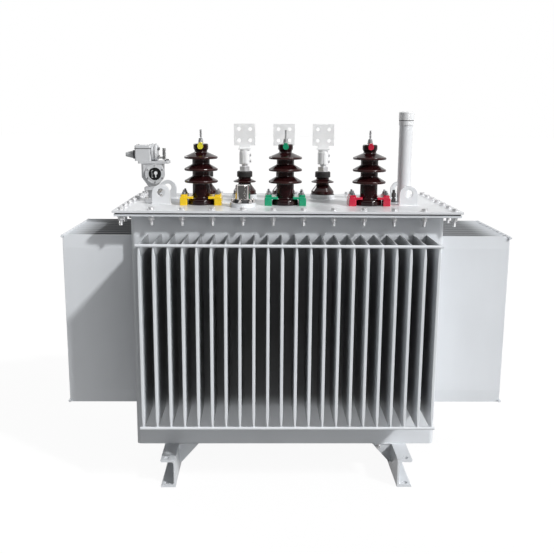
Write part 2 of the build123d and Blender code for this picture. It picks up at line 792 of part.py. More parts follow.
# Test cock
cock_level = end_flange_level - cock_drop
with BuildPart() as test_cock:
    with BuildSketch(facing_right(end_flange_x + end_flange_thickness, relay_y, cock_level)):
        Circle(cock_rod_radius)
    extrude(amount=cock_rod_length)
    with BuildSketch(Plane.XY.offset(cock_level - cock_below_rod)):
        with Locations((end_flange_x + end_flange_thickness + cock_rod_length, relay_y)):
            Rectangle(cock_block, cock_block, align=(Align.MIN, Align.CENTER))
    extrude(amount=cock_height)
    fillet(test_cock.edges().filter_by(Axis.Z), cock_round)

subparts = {
    "tank_floor": tank_floor,
    "wall_front": wall_front,
    "wall_rear": wall_rear,
    "wall_left": wall_left,
    "wall_right": wall_right,
    "fins_front": fins_front,
    "fins_rear": fins_rear,
    "fins_left": fins_left,
    "fins_right": fins_right,
    "fin_rods": fin_rods,
    "rim_flange": rim_flange,
    "cover_gasket": cover_gasket,
    "cover_plate": cover_plate,
    "base_channels": base_channels,
    "channel_gussets": channel_gussets,
    "lifting_lugs": lifting_lugs,
    "hv_porcelain": hv_porcelain,
    "hv_studs": hv_studs,
    "clamps_yellow": clamps_yellow,
    "clamps_green": clamps_green,
    "clamps_red": clamps_red,
    "disc_yellow": disc_yellow,
    "disc_green": disc_green,
    "disc_red": disc_red,
    "lv_flanges": lv_flanges,
    "lv_porcelain": lv_porcelain,
    "lv_caps": lv_caps,
    "lv_studs": lv_studs,
    "lv_palms": lv_palms,
    "tap_base": tap_base,
    "tap_ring": tap_ring,
    "tap_barrel": tap_barrel,
    "filler_tube": filler_tube,
    "filler_collar": filler_collar,
    "filler_cap": filler_cap,
    "cover_plug": cover_plug,
    "relay_neck": relay_neck,
    "relay_body": relay_body,
    "relay_glass": relay_glass,
    "relay_plate": relay_plate,
    "relay_box": relay_box,
    "relay_lid": relay_lid,
    "relay_end_flange": relay_end_flange,
    "cable_gland": cable_gland,
    "test_cock": test_cock,
}

for label, piece in subparts.items():
    piece.part.label = label
    export_step(piece.part, "parts/" + label + ".step")
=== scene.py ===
import json
from math import cos, pi, radians, sin

import bmesh
import bpy
from mathutils import Matrix, Vector


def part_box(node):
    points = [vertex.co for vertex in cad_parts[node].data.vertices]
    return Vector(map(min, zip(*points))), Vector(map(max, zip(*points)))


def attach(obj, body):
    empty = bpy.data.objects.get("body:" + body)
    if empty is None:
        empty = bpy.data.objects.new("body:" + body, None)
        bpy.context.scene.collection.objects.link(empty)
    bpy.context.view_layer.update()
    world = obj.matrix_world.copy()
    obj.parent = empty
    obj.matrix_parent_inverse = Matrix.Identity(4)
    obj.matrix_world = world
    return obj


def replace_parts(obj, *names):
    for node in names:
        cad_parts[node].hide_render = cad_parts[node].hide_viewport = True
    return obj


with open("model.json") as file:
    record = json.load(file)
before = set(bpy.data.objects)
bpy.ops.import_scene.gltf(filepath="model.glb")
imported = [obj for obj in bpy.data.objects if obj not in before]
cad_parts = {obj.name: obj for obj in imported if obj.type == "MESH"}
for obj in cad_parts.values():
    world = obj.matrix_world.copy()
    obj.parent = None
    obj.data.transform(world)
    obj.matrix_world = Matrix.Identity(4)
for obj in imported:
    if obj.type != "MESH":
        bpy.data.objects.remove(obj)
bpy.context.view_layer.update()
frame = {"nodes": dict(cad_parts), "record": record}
nodes = frame["nodes"]

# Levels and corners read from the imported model
cover_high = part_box("cover_plate")[1]
tank_low, tank_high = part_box("wall_front")
cover_top = cover_high.z
rim_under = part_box("rim_flange")[0].z


# Finishes


class Wire:
    """The result of one shader node. Sums and products of wires add the nodes that work them out."""

    def __init__(self, finish, socket):
        self.finish = finish
        self.socket = socket

    def maths(self, operation, first, second):
        return self.finish.node("ShaderNodeMath", {"operation": operation}, {0: first, 1: second})

    def __add__(self, other):
        return self.maths("ADD", self, other)

    def __sub__(self, other):
        return self.maths("SUBTRACT", self, other)

    def __rsub__(self, other):
        return self.maths("SUBTRACT", other, self)

    def __mul__(self, other):
        return self.maths("MULTIPLY", self, other)

    __radd__ = __add__
    __rmul__ = __mul__


class Finish:
    """One material of the transformer."""

    def __init__(self, name):
        self.material = bpy.data.materials.new(name)
        self.material.use_nodes = True
        self.tree = self.material.node_tree
        self.shader = self.tree.nodes["Principled BSDF"]
        self.place = self.node("ShaderNodeTexCoord", {}, {}, "Object")

    def node(self, kind, settings, values, result=0):
        made = self.tree.nodes.new(kind)
        for key, value in settings.items():
            if key == "stops":
                lay_stops(made.color_ramp, value)
            else:
                setattr(made, key, value)
        for key, value in values.items():
            self.feed(made.inputs[key], value)
        return Wire(self, made.outputs[result])

    def feed(self, socket, value):
        if isinstance(value, Wire):
            self.tree.links.new(value.socket, socket)
        else:
            socket.default_value = value

    def set(self, **values):
        for key, value in values.items():
            self.feed(self.shader.inputs[key.replace("_", " ")], value)

    def noise(self, scale, detail=2.0, roughness=0.5, where=None):
        values = {"Vector": where or self.place, "Scale": scale, "Detail": detail, "Roughness": roughness}
        return self.node("ShaderNodeTexNoise", {}, values, 0)

    def stretched(self, x, y, z):
        return self.node("ShaderNodeVectorMath", {"operation": "MULTIPLY"}, {0: self.place, 1: (x, y, z)})

    def part_of_place(self, axis):
        return self.node("ShaderNodeSeparateXYZ", {}, {0: self.place}, axis)

    def size_of(self, value):
        return self.node("ShaderNodeMath", {"operation": "ABSOLUTE"}, {0: value})

    def between(self, value, low, high):
        """0 below low, 1 above high and a smooth rise between them."""
        settings = {"interpolation_type": "SMOOTHSTEP"}
        limits = {"Value": value, "From Min": low, "From Max": high}
        return self.node("ShaderNodeMapRange", settings, limits)

    def blend(self, share, first, second):
        settings = {"data_type": "RGBA"}
        return self.node("ShaderNodeMix", settings, {0: share, 6: opaque(first), 7: opaque(second)}, 2)

    def bump(self, height, strength, distance, normal=None):
        values = {"Height": height, "Strength": strength, "Distance": distance}
        if normal is not None:
            values["Normal"] = normal
        return self.node("ShaderNodeBump", {}, values)


def lay_stops(ramp, stops):
    while len(ramp.elements) < len(stops):
        ramp.elements.new(0.5)
    for element, (position, colour) in zip(ramp.elements, stops):
        element.position = position
        element.color = opaque(colour)


def opaque(colour):
    return colour if isinstance(colour, Wire) else (*colour[:3], 1.0)


def shade(colour, factor):
    return tuple(part * factor for part in colour)


def sprayed_paint(name, colour, roughness, peel=0.25, gloss_coat=0.25, painted_recess_shade=None):
    """Sprayed enamel: broad changes of tone, fine orange peel and a slightly uneven gloss.

    The recess share, where one is given, is painted shade: for each point, how far the colour darkens
    towards a quarter of its tone in a deep recess.
    """
    finish = Finish(name)
    cloud = finish.noise(2.6, 3.0)
    streak = finish.noise(1.0, 3.0, where=finish.stretched(9.0, 9.0, 1.6))
    tone = finish.between(cloud * 0.6 + streak * 0.4, 0.3, 0.7)
    colours = finish.blend(tone, shade(colour, 0.95), shade(colour, 1.03))
    if painted_recess_shade is not None:
        # Painted shade: the colour darkens in deep recesses by the given share
        colours = finish.blend(painted_recess_shade(finish) * painted_shade_share, colours, shade(colour, 0.25))
    orange_peel = finish.bump(finish.noise(420.0, 2.0), peel, 0.0004)
    waves = finish.bump(finish.noise(7.0, 1.0), 0.12, 0.004, orange_peel)
    finish.set(
        Base_Color=colours,
        Roughness=finish.noise(30.0, 3.0) * 0.10 + (roughness - 0.05),
        Normal=waves,
        Coat_Weight=gloss_coat,
        Coat_Roughness=0.12,
    )
    return finish.material


def fin_painted_shade(depth_axis, row_axis, tip, last_fin):
    """Share of painted shade by how deep a point lies between two fins: 0 at their tips and on the outer
    faces of the pack.
    """
    def share(finish):
        depth = tip - finish.size_of(finish.part_of_place(depth_axis))
        inside = last_fin - finish.size_of(finish.part_of_place(row_axis))
        return finish.between(depth, 0.006, 0.11) * finish.between(inside, -0.0006, 0.0006)
    return share


def wall_painted_shade(row_axis, last_fin, low, high):
    """Share of painted shade on the stretch of a wall that its fins cover."""
    def share(finish):
        inside = last_fin - finish.size_of(finish.part_of_place(row_axis))
        level = finish.part_of_place("Z")
        covered = finish.between(level, low, low + 0.05) * finish.between(level, high, high - 0.05)
        return finish.between(inside, -0.004, 0.004) * covered
    return share


def glazed_porcelain(name, deep, thin, axis_pitch, first_axis, row, lip_from, lip_to):
    """Brown glaze, redder where it runs thin at the rims of the sheds."""
    finish = Finish(name)
    across = finish.part_of_place("X") - (first_axis - axis_pitch / 2)
    settings = {"operation": "WRAP"}
    wrapped = finish.node("ShaderNodeMath", settings, {0: across, 1: axis_pitch, 2: 0.0}) - axis_pitch / 2
    back = finish.part_of_place("Y") - row
    reach = finish.node("ShaderNodeMath", {"operation": "SQRT"}, {0: wrapped * wrapped + back * back})
    rims = finish.between(reach, lip_from, lip_to)
    mottle = finish.between(finish.noise(60.0, 4.0), 0.35, 0.75)
    ground = finish.blend(mottle * 0.6, deep, shade(deep, 1.8))
    finish.set(
        Base_Color=finish.blend(rims * 0.8, ground, thin),
        Roughness=finish.noise(40.0, 2.0) * 0.08 + 0.08,
        Specular_IOR_Level=0.22,
        Normal=finish.bump(finish.noise(55.0, 2.0), 0.22, 0.0012),
        Coat_Weight=0.35,
        Coat_Roughness=0.03,
    )
    return finish.material


def turned_metal(name, colour, roughness, brushed=0.15, metallic=1.0):
    """Machined or plated metal with faint tool marks round it."""
    finish = Finish(name)
    marks = finish.noise(1.0, 4.0, where=finish.stretched(60.0, 60.0, 2600.0))
    stain = finish.between(finish.noise(90.0, 3.0), 0.4, 0.8)
    finish.set(
        Base_Color=finish.blend(stain * 0.5, colour, shade(colour, 0.72)),
        Metallic=metallic,
        Roughness=marks * 0.12 + (roughness - 0.06),
        Normal=finish.bump(marks, brushed, 0.0003),
    )
    return finish.material


def tinned_metal(name, colour, roughness):
    """A dull pale coat of tin with faint clouds in it."""
    finish = Finish(name)
    clouds = finish.between(finish.noise(35.0, 3.0), 0.35, 0.75)
    grain = finish.noise(500.0, 3.0)
    finish.set(
        Base_Color=finish.blend(clouds * 0.5, colour, shade(colour, 0.88)),
        Metallic=0.15,
        Roughness=grain * 0.10 + (roughness - 0.05),
        Normal=finish.bump(grain, 0.12, 0.0003),
    )
    return finish.material


def rubber(name, colour):
    finish = Finish(name)
    grain = finish.noise(900.0, 3.0)
    finish.set(
        Base_Color=finish.blend(grain, shade(colour, 0.8), shade(colour, 1.4)),
        Roughness=grain * 0.2 + 0.55,
        Normal=finish.bump(grain, 0.3, 0.0004),
    )
    return finish.material


def moulded_gland(name, collar, cone, joint):
    """Dark plastic collar beside a paler tapered nut; joint is the X at which one meets the other."""
    finish = Finish(name)
    grain = finish.noise(700.0, 2.0)
    collar_share = finish.between(finish.part_of_place("X"), joint - 0.0004, joint + 0.0004)
    finish.set(
        Base_Color=finish.blend(collar_share, cone, collar),
        Roughness=grain * 0.15 + 0.35,
        Normal=finish.bump(grain, 0.2, 0.0004),
    )
    return finish.material


def dark_glass(name):
    finish = Finish(name)
    haze = finish.between(finish.noise(45.0, 3.0), 0.45, 0.8)
    finish.set(
        Base_Color=finish.blend(haze, (0.006, 0.007, 0.008), (0.03, 0.032, 0.034)),
        Roughness=haze * 0.05 + 0.03,
        Coat_Weight=1.0,
        Coat_Roughness=0.02,
    )
    return finish.material


tank_grey = (0.70, 0.725, 0.755)
fin_grey = (0.73, 0.755, 0.785)
cover_grey = (0.74, 0.755, 0.775)
# Painted shade: how strongly the recesses between the fins and on the walls behind them are darkened
painted_shade_share = 0.9
fins_low, fins_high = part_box("fins_front")
side_fins_low, side_fins_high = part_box("fins_right")
half_fin = 0.005
front_last = fins_high.x - half_fin
side_last = side_fins_high.y - half_fin
# Painted shade deep between the fins and on the walls behind them
front_fin_painted_shade = fin_painted_shade("Y", "X", -fins_low.y, front_last)
side_fin_painted_shade = fin_painted_shade("X", "Y", side_fins_high.x, side_last)
front_wall_painted_shade = wall_painted_shade("X", front_last, fins_low.z, fins_high.z)
side_wall_painted_shade = wall_painted_shade("Y", side_last, side_fins_low.z, side_fins_high.z)
gland_collar = 0.008
gland_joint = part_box("cable_gland")[1].x - gland_collar
finishes = {
    "tank_paint": sprayed_paint("tank enamel", tank_grey, 0.34),
    "cover_paint": sprayed_paint("cover enamel", cover_grey, 0.36),
    "filler_white": sprayed_paint("filler cap enamel", (0.80, 0.81, 0.82), 0.30),
    "seal": rubber("black rubber", (0.03, 0.03, 0.032)),
    "stud_metal": turned_metal("zinc plated steel", (0.80, 0.80, 0.81), 0.34, metallic=0.6),
    "palm_metal": tinned_metal("tinned palms", (0.95, 0.955, 0.96), 0.42),
    "phase_yellow": sprayed_paint("yellow phase paint", (0.87, 0.58, 0.01), 0.26, gloss_coat=0.5),
    "phase_green": sprayed_paint("green phase paint", (0.004, 0.30, 0.145), 0.26, gloss_coat=0.5),
    "phase_red": sprayed_paint("red phase paint", (0.56, 0.012, 0.045), 0.26, gloss_coat=0.5),
    "plated": turned_metal("nickel plate", (0.78, 0.75, 0.73), 0.12, 0.05),
    "relay_cast": sprayed_paint("relay enamel", (0.60, 0.61, 0.625), 0.42, peel=0.5),
    "sight": dark_glass("sight glass"),
    "dark_fitting": moulded_gland("gland plastic", (0.05, 0.05, 0.055), (0.46, 0.47, 0.48), gland_joint),
    "small_steel": turned_metal("grey steel", (0.34, 0.34, 0.35), 0.36),
}
clamp_boxes = [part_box("clamps_" + colour) for colour in ("yellow", "green", "red")]
hv_axes = [(low + high) / 2 for low, high in clamp_boxes]
lv_low, lv_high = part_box("lv_porcelain")
hv_low, hv_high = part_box("hv_porcelain")
hv_radius = (hv_high.y - hv_low.y) / 2
lv_radius = (lv_high.y - lv_low.y) / 2
lv_row = (lv_low.y + lv_high.y) / 2
hv_pitch = hv_axes[1].x - hv_axes[0].x
lv_pitch = (lv_high.x - lv_low.x - 2 * lv_radius) / 3
lv_axes = [Vector((lv_low.x + lv_radius + step * lv_pitch, lv_row, 0)) for step in range(4)]
glaze = (0.0135, 0.0030, 0.0034)
thin_glaze = (0.034, 0.0095, 0.0085)
own_finishes = {
    "hv_porcelain": glazed_porcelain(
        "high voltage glaze", glaze, thin_glaze,
        hv_pitch, hv_axes[0].x, hv_axes[0].y, hv_radius - 0.010, hv_radius,
    ),
    "lv_porcelain": glazed_porcelain(
        "low voltage glaze", glaze, thin_glaze,
        lv_pitch, lv_axes[0].x, lv_row, lv_radius - 0.006, lv_radius,
    ),
    # The fins and the walls behind them carry painted shade in their recesses
    "fins_front": sprayed_paint("long fin enamel", fin_grey, 0.34, gloss_coat=0.4, painted_recess_shade=front_fin_painted_shade),
    "fins_right": sprayed_paint("end fin enamel", fin_grey, 0.34, gloss_coat=0.4, painted_recess_shade=side_fin_painted_shade),
    "fin_rods": sprayed_paint("rod enamel", fin_grey, 0.34, gloss_coat=0.4),
    "wall_front": sprayed_paint("long wall enamel", tank_grey, 0.34, painted_recess_shade=front_wall_painted_shade),
    "wall_right": sprayed_paint("end wall enamel", tank_grey, 0.34, painted_recess_shade=side_wall_painted_shade),
    "lv_caps": rubber("low voltage cap", (0.009, 0.008, 0.008)),
    "cover_plug": rubber("dark plug", (0.05, 0.05, 0.052)),
    "test_cock": turned_metal("nickel plated brass", (0.66, 0.66, 0.65), 0.34),
}
same_finish = {
    "fins_rear": "fins_front",
    "fins_left": "fins_right",
    "wall_rear": "wall_front",
    "wall_left": "wall_right",
}
for twin, first in same_finish.items():
    own_finishes[twin] = own_finishes[first]

slot_of_node = {row["node"]: row["material_slot"] for row in frame["record"]["subparts"]}
for name, node in nodes.items():
    node.data.materials.clear()
    node.data.materials.append(own_finishes.get(name) or finishes[slot_of_node[name]])


# Small pieces

ring_steps = 24
bead_sides = 6
bead_turns = [2 * pi * side / bead_sides for side in range(bead_sides)]
bead_section = [(cos(turn), sin(turn)) for turn in bead_turns]
stud_radius = 0.004
stud_pitch = 0.00125
phases = ("yellow", "green", "red")


def ring_turns():
    return [2 * pi * step / ring_steps for step in range(ring_steps)]


def circle_ring(radius, level):
    return [(radius * cos(turn), radius * sin(turn), level) for turn in ring_turns()]


def hexagon_radius(apothem, turn):
    return apothem / cos((turn + pi / 6) % (pi / 3) - pi / 6)


def hexagon_ring(apothem, level, lift=0.0):
    """A six-sided ring whose corners are cut back by lift towards the flat at that level."""
    ring = []
    for turn in ring_turns():
        radius = hexagon_radius(apothem, turn)
        ring.append((radius * cos(turn), radius * sin(turn), level + lift * (radius - apothem) / apothem))
    return ring


def turned(*profile):
    """Rings of a turned piece, from (radius, level) pairs."""
    return [circle_ring(radius, level) for radius, level in profile]


def washer(radius, thickness):
    edge = thickness * 0.25
    profile = ((radius - edge, 0), (radius, edge), (radius, thickness - edge), (radius - edge, thickness))
    return turned(*profile), thickness


def hexagon_nut(apothem, height):
    cut = 0.6 * apothem
    return [
        circle_ring(apothem * 0.98, 0.0),
        hexagon_ring(apothem, 0.0, cut),
        hexagon_ring(apothem, height, -cut),
        circle_ring(apothem * 0.98, height),
    ], height


def threaded_rod(radius, length, pitch):
    turns = max(2, int(length / pitch))
    step = length / turns
    profile = [(radius * 0.9, 0.0)]
    for turn in range(turns):
        profile += [(radius, (turn + 0.5) * step), (radius - pitch * 0.45, (turn + 1) * step)]
    return turned(*profile), length


def stud_end(washer_radius, washer_thickness, nut_apothem, nut_height, tail):
    """A washer and a nut with the end of an 8 mm stud above them."""
    return (
        washer(washer_radius, washer_thickness),
        hexagon_nut(nut_apothem, nut_height),
        threaded_rod(stud_radius, tail, stud_pitch),
    )


def domed_head(radius, height):
    shoulder, crown = height * 0.35, height * 0.75
    profile = ((radius, 0), (radius, shoulder), (radius * 0.85, crown), (radius * 0.5, height))
    return turned(*profile), height


def skin(mesh, rings, place, closed=False):
    """Joins rings of points into a skin, closed at its ends or joined round into a loop."""
    rows = [[mesh.verts.new(place @ Vector(point)) for point in ring] for ring in rings]
    count = len(rows[0])
    follow = rows[1:] + rows[:1] if closed else rows[1:]
    for low, high in zip(rows, follow):
        for side in range(count):
            after = (side + 1) % count
            mesh.faces.new((low[side], low[after], high[after], high[side]))
    if not closed:
        mesh.faces.new(list(reversed(rows[0])))
        mesh.faces.new(rows[-1])


def pile(mesh, foot, up, *layers):
    """Stacks washers, nuts and rods on a point, along a direction."""
    place = Matrix.Translation(foot) @ Vector(up).to_track_quat("Z", "Y").to_matrix().to_4x4()
    level = 0.0
    for rings, height in layers:
        skin(mesh, rings, place @ Matrix.Translation((0, 0, level)))
        level += height


def ring_section(inner, outer, low, high, edge):
    """The section of a ring whose outer corners are cut back."""
    return (
        (inner, low),
        (outer - edge, low),
        (outer, low + edge),
        (outer, high - edge),
        (outer - edge, high),
        (inner, high),
    )


def band(mesh, foot, up, inner, outer, low, high):
    """A flat ring round a point, from low to high along a direction."""
    place = Matrix.Translation(foot) @ Vector(up).to_track_quat("Z", "Y").to_matrix().to_4x4()
    corners = ring_section(inner, outer, low, high, min(outer - inner, high - low) * 0.25)
    rings = [[(r * cos(turn), r * sin(turn), level) for r, level in corners] for turn in ring_turns()]
    skin(mesh, rings, place, closed=True)


def slab(mesh, low, high, edge):
    """A block between two corners with its upright and level edges cut back."""
    levels = ((low.z, edge), (low.z + edge, 0.0), (high.z - edge, 0.0), (high.z, edge))
    rings = []
    for level, inset in levels:
        left, right, front, rear = low.x + inset, high.x - inset, low.y + inset, high.y - inset
        rings.append([
            (left + edge, front, level), (right - edge, front, level),
            (right, front + edge, level), (right, rear - edge, level),
            (right - edge, rear, level), (left + edge, rear, level),
            (left, rear - edge, level), (left, front + edge, level),
        ])
    skin(mesh, rings, Matrix())


def split_sleeve(mesh, centre, inner, outer, height, slot):
    """An upright sleeve with a slot down its front, its rims cut back a little."""
    corners = ring_section(inner, outer, 0.0, height, (outer - inner) * 0.3)
    half = slot / (2 * outer)
    steps = 32
    rings = []
    for step in range(steps + 1):
        turn = -pi / 2 + half + (2 * pi - 2 * half) * step / steps
        rings.append([(r * cos(turn), r * sin(turn), level) for r, level in corners])
    skin(mesh, rings, Matrix.Translation(centre))


def bead(mesh, start, end, radius, ripple=0.005):
    """A weld bead along a straight joint, its surface rippled as the puddles set."""
    start, end = Vector(start), Vector(end)
    along = end - start
    count = max(6, int(3 * along.length / ripple))
    place = Matrix.Translation(start) @ along.to_track_quat("Z", "Y").to_matrix().to_4x4()
    rings = []
    for step in range(count + 1):
        share = step / count
        swell = radius * (1.0 + 0.14 * sin(2 * pi * step / 3.0 + 0.6))
        swell *= 0.55 if step in (0, count) else 1.0
        rings.append([(swell * x, swell * y, share * along.length) for x, y in bead_section])
    skin(mesh, rings, place)


def ring_bead(mesh, centre, reach, radius, ripple=0.005):
    """A weld bead round the foot of a tube or flange."""
    count = int(3 * 2 * pi * reach / ripple)
    rings = []
    for step in range(count):
        turn = 2 * pi * step / count
        swell = radius * (1.0 + 0.14 * sin(2 * pi * step / 3.0))
        rings.append([
            ((reach + swell * out) * cos(turn), (reach + swell * out) * sin(turn), swell * up)
            for out, up in bead_section
        ])
    skin(mesh, rings, Matrix.Translation(centre), closed=True)


def add_piece(name, mesh, slot_name, finish=None, sharp=30.0):
    data = bpy.data.meshes.new(name)
    bmesh.ops.recalc_face_normals(mesh, faces=mesh.faces)
    mesh.to_mesh(data)
    mesh.free()
    data.polygons.foreach_set("use_smooth", [True] * len(data.polygons))
    data.set_sharp_from_angle(angle=radians(sharp))
    data.materials.append(finish or finishes[slot_name])
    piece = bpy.data.objects.new(name, data)
    bpy.context.scene.collection.objects.link(piece)
    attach(piece, "root")
    return piece


def spread(first, last, count):
    return [first + (last - first) * step / (count - 1) for step in range(count)]


def around(centre, reach, count, first_turn=0.0):
    turns = [first_turn + 2 * pi * step / count for step in range(count)]
    return [(centre.x + reach * cos(turn), centre.y + reach * sin(turn)) for turn in turns]


# Bolts round the cover: heads on the cover, nuts and tails under the rim
bolt_inset_x = 0.026
bolt_inset_y = 0.022
front_bolts = 12
side_bolts = 7
bolt_radius = 0.006
bolt_pitch = 0.00175
rim_washer = 0.0028
rim_nut = 0.0105
tail_length = 0.0177
head_layers = (washer(0.012, 0.0025), hexagon_nut(0.009, 0.0075))
tail_layers = (
    washer(0.0125, rim_washer),
    hexagon_nut(0.0095, rim_nut),
    threaded_rod(bolt_radius, tail_length, bolt_pitch),
)
bolt_x = cover_high.x - bolt_inset_x
bolt_y = cover_high.y - bolt_inset_y
bolt_places = [(x, y) for x in spread(-bolt_x, bolt_x, front_bolts) for y in (-bolt_y, bolt_y)]
bolt_places += [(x, y) for x in (-bolt_x, bolt_x) for y in spread(-bolt_y, bolt_y, side_bolts)[1:-1]]
heads = bmesh.new()
tails = bmesh.new()
for x, y in bolt_places:
    pile(heads, (x, y, cover_top), (0, 0, 1), *head_layers)
    pile(tails, (x, y, rim_under), (0, 0, -1), *tail_layers)
add_piece("cover_bolt_heads", heads, "stud_metal")
add_piece("cover_bolt_nuts", tails, "stud_metal")

# Raised pad on each clamp with two studs and nuts, front and back of its middle
clamp_stud_inset = 0.014
clamp_stud_y = 0.024
pad_half = 0.0115
pad_height = 0.0065
pad_sunk = 0.003
pad_edge = 0.0026
clamp_layers = stud_end(0.0088, 0.002, 0.0065, 0.0065, 0.0070)
clamp_fixings = bmesh.new()
for colour, (low, high) in zip(phases, clamp_boxes):
    middle = (low.y + high.y) / 2
    pads = bmesh.new()
    for x in (low.x + clamp_stud_inset, high.x - clamp_stud_inset):
        foot = Vector((x - pad_half, middle - clamp_stud_y - pad_half, high.z - pad_sunk))
        top = Vector((x + pad_half, middle + clamp_stud_y + pad_half, high.z + pad_height))
        slab(pads, foot, top, pad_edge)
        for y in (middle - clamp_stud_y, middle + clamp_stud_y):
            pile(clamp_fixings, (x, y, top.z), (0, 0, 1), *clamp_layers)
    add_piece("clamp_bosses_" + colour, pads, "phase_" + colour)
add_piece("clamp_fixings", clamp_fixings, "small_steel")

# Threaded studs in place of the plain ones
hv_stud_low, hv_stud_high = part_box("hv_studs")
hv_threads = bmesh.new()
hv_stud = threaded_rod(stud_radius, hv_stud_high.z - hv_stud_low.z, stud_pitch)
hv_nuts = (washer(0.0105, 0.0020), hexagon_nut(0.0080, 0.0070), hexagon_nut(0.0070, 0.0060))
for axis in hv_axes:
    foot = (axis.x, axis.y, hv_stud_low.z)
    pile(hv_threads, foot, (0, 0, 1), *hv_nuts)
    pile(hv_threads, foot, (0, 0, 1), hv_stud)
hv_stud_finish = turned_metal("dull steel studs", (0.50, 0.50, 0.51), 0.36, metallic=0.85)
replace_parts(add_piece("hv_threaded_studs", hv_threads, "stud_metal", hv_stud_finish), "hv_studs")

lv_stud_low, lv_stud_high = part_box("lv_studs")
palms_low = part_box("lv_palms")[0]
lv_stud_radius = 0.012
lv_stud_pitch = 0.002
lv_nut = (washer(0.0205, 0.0025), hexagon_nut(0.018, 0.0155))
lv_threads = bmesh.new()
for number, axis in enumerate(lv_axes):
    foot = (axis.x, axis.y, lv_stud_low.z)
    top = lv_stud_high.z if number == 0 else palms_low.z
    pile(lv_threads, foot, (0, 0, 1), *lv_nut)
    pile(lv_threads, foot, (0, 0, 1), threaded_rod(lv_stud_radius, top - lv_stud_low.z, lv_stud_pitch))
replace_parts(add_piece("lv_threaded_studs", lv_threads, "stud_metal"), "lv_studs")

# Phase markers: a tab held under the stud's nuts and a round disc with a raised rim
marker_radius = 0.0102
marker_thickness = 0.0050
tab_half = 0.0065
tab_thickness = 0.0030
tab_edge = 0.0006
tab_top = hv_stud_low.z
marker_profile = (
    (marker_radius - 0.001, 0.0),
    (marker_radius, 0.001),
    (marker_radius, marker_thickness - 0.0006),
    (marker_radius - 0.0006, marker_thickness),
    (marker_radius - 0.0014, marker_thickness),
    (marker_radius - 0.0020, marker_thickness - 0.0007),
    (0.0020, marker_thickness - 0.0003),
)
marker_yellow = sprayed_paint("yellow marker paint", (0.80, 0.72, 0.045), 0.26, gloss_coat=0.5)
for colour, axis in zip(phases, hv_axes):
    low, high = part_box("disc_" + colour)
    marker = bmesh.new()
    tab_low = Vector((axis.x - tab_half, low.y, tab_top - tab_thickness))
    slab(marker, tab_low, Vector((axis.x + tab_half, high.y, tab_top)), tab_edge)
    back = Vector((axis.x, low.y + marker_thickness, low.z + (high.z - low.z - tab_thickness) / 2))
    pile(marker, back, (0, -1, 0), (turned(*marker_profile), marker_thickness))
    band(marker, (axis.x, axis.y, tab_top), (0, 0, 1), 0.0042, 0.0108, -0.0002, 0.0012)
    marker_finish = marker_yellow if colour == "yellow" else None
    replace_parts(add_piece("marker_" + colour, marker, "phase_" + colour, marker_finish), "disc_" + colour)

# Slotted sleeves that clamp the palms to their studs
sleeve_drop = 0.004
sleeve_inner = 0.0170
sleeve_outer = 0.0202
sleeve_height = 0.046
sleeve_slot = 0.0060
sleeve_bolt = (washer(0.0058, 0.0012), hexagon_nut(0.0048, 0.0040))
sleeves = bmesh.new()
sleeve_bolts = bmesh.new()
for axis in lv_axes[1:]:
    foot = Vector((axis.x, axis.y, palms_low.z - sleeve_drop))
    split_sleeve(sleeves, foot, sleeve_inner, sleeve_outer, sleeve_height, sleeve_slot)
    for level in (0.011, 0.033):
        pile(sleeve_bolts, foot + Vector((0.0196, -0.004, level)), (1, 0, 0), *sleeve_bolt)
add_piece("palm_sleeves", sleeves, "palm_metal")
add_piece("palm_sleeve_bolts", sleeve_bolts, "stud_metal")

# Seals under the porcelain
lv_flange_low, lv_flange_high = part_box("lv_flanges")
seal_inner = 0.036
hv_seal_outer = 0.0455
lv_seal_outer = 0.0445
seals = bmesh.new()
for axis in hv_axes:
    band(seals, (axis.x, axis.y, cover_top), (0, 0, 1), seal_inner, hv_seal_outer, 0.0, 0.0022)
for axis in lv_axes:
    foot = (axis.x, axis.y, lv_flange_high.z)
    band(seals, foot, (0, 0, 1), seal_inner, lv_seal_outer, 0.0, 0.002)
add_piece("porcelain_seals", seals, "seal")

# Nuts on the tap changer's flange
tap_low, tap_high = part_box("tap_base")
tap_axis = (tap_low + tap_high) / 2
tap_nut_reach = 0.0375
tap_layers = stud_end(0.0068, 0.0016, 0.0058, 0.0065, 0.0055)
tap_nuts = bmesh.new()
for x, y in around(tap_axis, tap_nut_reach, 6, radians(15)):
    pile(tap_nuts, (x, y, tap_high.z), (0, 0, 1), *tap_layers)
add_piece("tap_nuts", tap_nuts, "plated")

# Bolts of the relay's neck, above its lower flange and below its upper one
neck_low, neck_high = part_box("relay_neck")
neck_axis = (neck_low + neck_high) / 2
neck_flange = 0.010
neck_bolt = 0.0225
neck_layers = stud_end(0.0068, 0.0016, 0.006, 0.0065, 0.004)
neck_bolts = bmesh.new()
for x in (-neck_bolt, neck_bolt):
    for y in (-neck_bolt, neck_bolt):
        place = Vector((neck_axis.x + x, neck_axis.y + y, neck_low.z + neck_flange))
        pile(neck_bolts, place, (0, 0, 1), *neck_layers)
        place.z = neck_high.z - neck_flange
        pile(neck_bolts, place, (0, 0, -1), *neck_layers)
add_piece("relay_neck_bolts", neck_bolts, "stud_metal")

# Screws and retaining ring of the sight glass
glass_low, glass_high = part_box("relay_glass")
glass_axis = (glass_low + glass_high) / 2
sight_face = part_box("relay_body")[0].y
sight_screw_reach = 0.0297
sight_screws = bmesh.new()
for step in range(6):
    turn = radians(30 + 60 * step)
    across = glass_axis.x + sight_screw_reach * cos(turn)
    level = glass_axis.z + sight_screw_reach * sin(turn)
    pile(sight_screws, (across, sight_face, level), (0, -1, 0), domed_head(0.0030, 0.0022))
add_piece("sight_screws", sight_screws, "small_steel")
sight_ring = bmesh.new()
glass_edge = (glass_high.x - glass_low.x) / 2
glass_face = Vector((glass_axis.x, glass_low.y, glass_axis.z))
ring_foot = (glass_axis.x, sight_face, glass_axis.z)
band(sight_ring, ring_foot, (0, -1, 0), glass_edge - 0.0012, glass_edge + 0.0018, -0.0002, 0.0012)
add_piece("sight_ring", sight_ring, "relay_cast")
